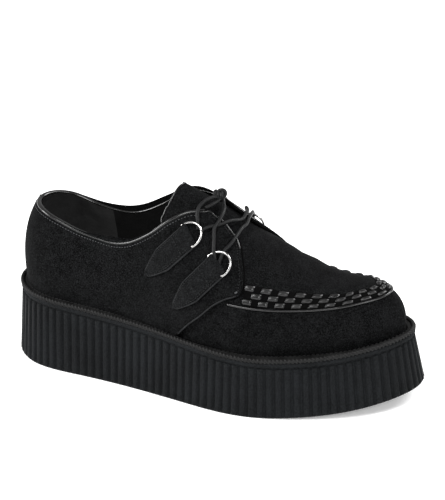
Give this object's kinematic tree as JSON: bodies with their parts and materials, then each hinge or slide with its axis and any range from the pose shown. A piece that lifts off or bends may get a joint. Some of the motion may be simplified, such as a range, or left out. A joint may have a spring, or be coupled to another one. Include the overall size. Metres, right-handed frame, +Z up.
{
  "type": "creeper shoe",
  "caption": "Right creeper shoe: black suede upper with a woven leather apron band, strap tabs with D-rings and a lace, on a ribbed platform wedge sole.",
  "frame": {"origin": "on the floor below the middle of the sole's outline box", "axes": "+X towards the toe, -Y towards the outer side of the right foot, +Z up"},
  "size_m": [0.3018, 0.118, 0.1409],
  "materials": {
    "sole": "matte black rubber with upright ribs",
    "welt": "stitched black welt strip, satin",
    "insole": "off-white lining leather, soft matte",
    "suede": "black suede with a short nap, matte",
    "tongue": "black suede, matte",
    "collar_binding": "smooth black leather binding, glossy",
    "apron_binding": "smooth black leather piping, glossy",
    "weave": "smooth grey-black woven leather, slightly glossy",
    "strap": "black suede with stitched edges, matte",
    "ring": "polished nickel",
    "lace": "round waxed cord, dark grey"
  },
  "bodies": {
    "root": {"platform_sole": "sole", "welt": "welt", "insole": "insole", "upper": "suede", "tongue": "tongue", "collar_piping": "collar_binding", "apron_piping": "apron_binding", "apron_weave": "weave", "strap_upper_outer": "strap", "strap_upper_inner": "strap", "strap_lower_outer": "strap", "strap_lower_inner": "strap", "ring_upper_outer": "ring", "ring_upper_inner": "ring", "ring_lower_outer": "ring", "ring_lower_inner": "ring", "lace_bar": "lace", "lace_crossings": "lace", "lace_knot": "lace", "lace_end_near": "lace", "lace_end_free": "lace"}
  },
  "joints": []
}
